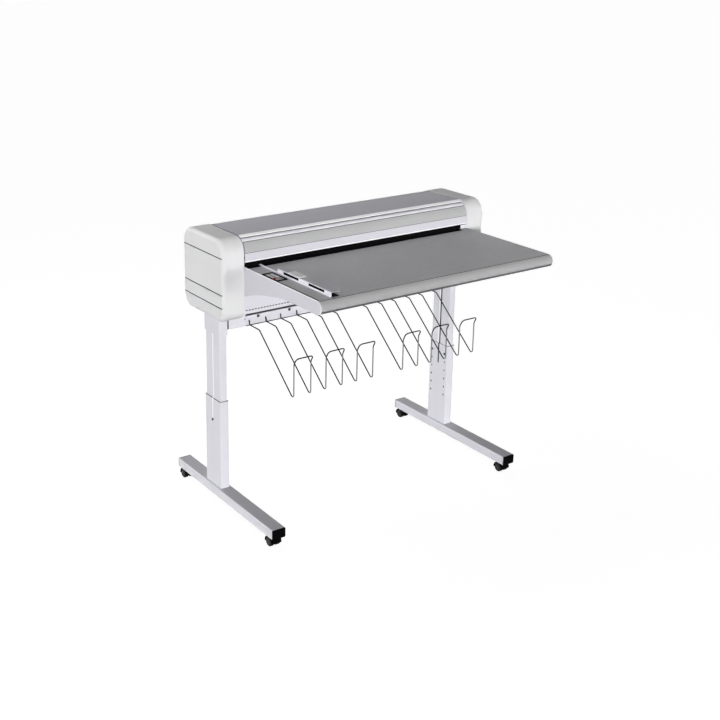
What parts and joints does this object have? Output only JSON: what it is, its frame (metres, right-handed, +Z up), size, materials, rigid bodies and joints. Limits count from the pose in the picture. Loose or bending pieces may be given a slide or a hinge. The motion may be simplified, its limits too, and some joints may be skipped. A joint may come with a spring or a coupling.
{
  "type": "plan folding machine",
  "caption": "Wide folding machine for plans, with a feed table, hinged covers over geared rollers, wire racks and a height-adjustable stand on castors.",
  "frame": {"origin": "on the floor, under the middle of the machine's box", "axes": "+X to the right as seen by the person feeding the plans, +Y to the back, +Z up"},
  "size_m": [1.312, 0.965, 1.1691],
  "materials": {
    "cap_plastic": "fine moulded grain, white",
    "white_paint": "white powder coat with a lilac cast",
    "grey_paint": "satin grey powder coat",
    "grey_band": "satin grey lacquer",
    "bright_profile": "white satin lacquer on extruded aluminium",
    "table_paint": "structured grey powder coat",
    "nose_profile": "satin grey anodised extrusion",
    "clip_plastic": "light grey, slightly translucent",
    "black_plastic": "fine black grain",
    "key_panel": "grey film",
    "key_plastic": "light grey",
    "roller_rubber": "ground black rubber",
    "belt_rubber": "black",
    "steel": "turned steel",
    "dark_steel": "black oxide",
    "zinc_sheet": "zinc-plated sheet",
    "motor_case": "black enamel",
    "rack_wire": "dull dark chrome",
    "castor_tyre": "hard black tread"
  },
  "bodies": {
    "head": {"left_end_cap": "cap_plastic", "right_end_cap": "cap_plastic", "left_side_plate": "white_paint", "right_side_plate": "white_paint", "roller_bearings": "steel", "rear_panel": "white_paint", "power_inlet": "black_plastic", "exit_panel": "white_paint", "exit_chute": "zinc_sheet", "cross_beam": "white_paint", "rack_rail": "white_paint", "cover_hinge_pins": "steel", "feed_table": "table_paint", "table_nose": "nose_profile", "table_left_panel": "white_paint", "table_right_bracket": "white_paint", "side_guide": "bright_profile", "guide_clip": "clip_plastic", "keypad_bezel": "black_plastic", "keypad_plate": "key_panel", "drive_motor": "motor_case", "drive_belt": "belt_rubber", "column_collars": "white_paint", "left_upper_column": "white_paint", "right_upper_column": "white_paint", "wire_rack_1": "rack_wire", "wire_rack_2": "rack_wire", "wire_rack_3": "rack_wire", "wire_rack_4": "rack_wire", "wire_rack_5": "rack_wire", "wire_rack_6": "rack_wire"},
    "top_cover": {"top_cover": "grey_paint", "top_cover_profile": "bright_profile"},
    "front_cover": {"front_cover": "grey_band", "front_cover_profile": "bright_profile", "front_strip": "white_paint"},
    "lower_feed_roller": {"lower_feed_roller": "roller_rubber"},
    "upper_feed_roller": {"upper_feed_roller": "roller_rubber"},
    "front_fold_roller": {"front_fold_roller": "roller_rubber"},
    "rear_fold_roller": {"rear_fold_roller": "roller_rubber"},
    "motor_pulley": {"motor_pulley": "steel"},
    "fold_deflector": {"fold_deflector": "zinc_sheet"},
    "key_1": {"key_1": "key_plastic"},
    "key_2": {"key_2": "key_plastic"},
    "key_3": {"key_3": "key_plastic"},
    "key_4": {"key_4": "key_plastic"},
    "left_leg": {"left_leg": "white_paint", "left_clamp_screws": "dark_steel", "left_foot_caps": "black_plastic"},
    "right_leg": {"right_leg": "white_paint", "right_clamp_screws": "dark_steel", "right_foot_caps": "black_plastic"},
    "castor_frame_front_left": {"castor_frame_front_left": "black_plastic"},
    "castor_wheels_front_left": {"castor_wheels_front_left": "castor_tyre"},
    "castor_frame_rear_left": {"castor_frame_rear_left": "black_plastic"},
    "castor_wheels_rear_left": {"castor_wheels_rear_left": "castor_tyre"},
    "castor_frame_front_right": {"castor_frame_front_right": "black_plastic"},
    "castor_wheels_front_right": {"castor_wheels_front_right": "castor_tyre"},
    "castor_frame_rear_right": {"castor_frame_rear_right": "black_plastic"},
    "castor_wheels_rear_right": {"castor_wheels_rear_right": "castor_tyre"}
  },
  "joints": [
    {"name": "top_cover_hinge", "type": "hinge", "parent": "head", "child": "top_cover", "pos_m": [0, 0.2735, 1.1575], "axis": [-1, 0, 0], "range_deg": [0, 80]},
    {"name": "front_cover_hinge", "type": "hinge", "parent": "head", "child": "front_cover", "pos_m": [0, 0.058, 1.14863], "axis": [-1, 0, 0], "range_deg": [0, 75]},
    {"name": "rear_fold_spin", "type": "hinge", "parent": "head", "child": "rear_fold_roller", "pos_m": [0, 0.2485, 0.945], "axis": [1, 0, 0], "continuous": true},
    {"name": "front_fold_spin", "type": "hinge", "parent": "head", "child": "front_fold_roller", "pos_m": [0, 0.2005, 0.945], "axis": [1, 0, 0], "continuous": true},
    {"name": "lower_feed_spin", "type": "hinge", "parent": "head", "child": "lower_feed_roller", "pos_m": [0, 0.0875, 1.033], "axis": [1, 0, 0], "continuous": true},
    {"name": "upper_feed_spin", "type": "hinge", "parent": "head", "child": "upper_feed_roller", "pos_m": [0, 0.0875, 1.069], "axis": [1, 0, 0], "continuous": true},
    {"name": "motor_spin", "type": "hinge", "parent": "head", "child": "motor_pulley", "pos_m": [0, 0.2775, 1.078], "axis": [1, 0, 0], "continuous": true},
    {"name": "deflector_swing", "type": "hinge", "parent": "head", "child": "fold_deflector", "pos_m": [0, 0.2245, 1.04], "axis": [1, 0, 0], "range_deg": [-18, 18]},
    {"name": "key_1_press", "type": "slide", "parent": "head", "child": "key_1", "axis": [0, 0, -1], "range_m": [0, 0.0012], "stiffness_N_per_m": 500, "springref_m": -0.001},
    {"name": "key_2_press", "type": "slide", "parent": "head", "child": "key_2", "axis": [0, 0, -1], "range_m": [0, 0.0012], "stiffness_N_per_m": 500, "springref_m": -0.001},
    {"name": "key_3_press", "type": "slide", "parent": "head", "child": "key_3", "axis": [0, 0, -1], "range_m": [0, 0.0012], "stiffness_N_per_m": 500, "springref_m": -0.001},
    {"name": "key_4_press", "type": "slide", "parent": "head", "child": "key_4", "axis": [0, 0, -1], "range_m": [0, 0.0012], "stiffness_N_per_m": 500, "springref_m": -0.001},
    {"name": "left_leg_slide", "type": "slide", "parent": "head", "child": "left_leg", "axis": [0, 0, 1], "range_m": [0, 0.2]},
    {"name": "right_leg_slide", "type": "slide", "parent": "head", "child": "right_leg", "axis": [0, 0, 1], "range_m": [0, 0.2]},
    {"name": "castor_swivel_front_left", "type": "hinge", "parent": "left_leg", "child": "castor_frame_front_left", "pos_m": [-0.596, -0.2405, 0.046], "axis": [0, 0, 1], "continuous": true},
    {"name": "castor_roll_front_left", "type": "hinge", "parent": "castor_frame_front_left", "child": "castor_wheels_front_left", "pos_m": [-0.596, -0.2315, 0.02], "axis": [1, 0, 0], "continuous": true},
    {"name": "castor_swivel_rear_left", "type": "hinge", "parent": "left_leg", "child": "castor_frame_rear_left", "pos_m": [-0.596, 0.4495, 0.046], "axis": [0, 0, 1], "continuous": true},
    {"name": "castor_roll_rear_left", "type": "hinge", "parent": "castor_frame_rear_left", "child": "castor_wheels_rear_left", "pos_m": [-0.596, 0.4585, 0.02], "axis": [1, 0, 0], "continuous": true},
    {"name": "castor_swivel_front_right", "type": "hinge", "parent": "right_leg", "child": "castor_frame_front_right", "pos_m": [0.596, -0.2405, 0.046], "axis": [0, 0, 1], "continuous": true},
    {"name": "castor_roll_front_right", "type": "hinge", "parent": "castor_frame_front_right", "child": "castor_wheels_front_right", "pos_m": [0.596, -0.2315, 0.02], "axis": [1, 0, 0], "continuous": true},
    {"name": "castor_swivel_rear_right", "type": "hinge", "parent": "right_leg", "child": "castor_frame_rear_right", "pos_m": [0.596, 0.4495, 0.046], "axis": [0, 0, 1], "continuous": true},
    {"name": "castor_roll_rear_right", "type": "hinge", "parent": "castor_frame_rear_right", "child": "castor_wheels_rear_right", "pos_m": [0.596, 0.4585, 0.02], "axis": [1, 0, 0], "continuous": true}
  ],
  "couplings": [
    {"joint": "front_fold_spin", "follows": "rear_fold_spin", "ratio": -1},
    {"joint": "lower_feed_spin", "follows": "rear_fold_spin", "ratio": 1.3333},
    {"joint": "upper_feed_spin", "follows": "rear_fold_spin", "ratio": -1.3333},
    {"joint": "motor_spin", "follows": "rear_fold_spin", "ratio": 2},
    {"joint": "right_leg_slide", "follows": "left_leg_slide", "ratio": 1}
  ]
}
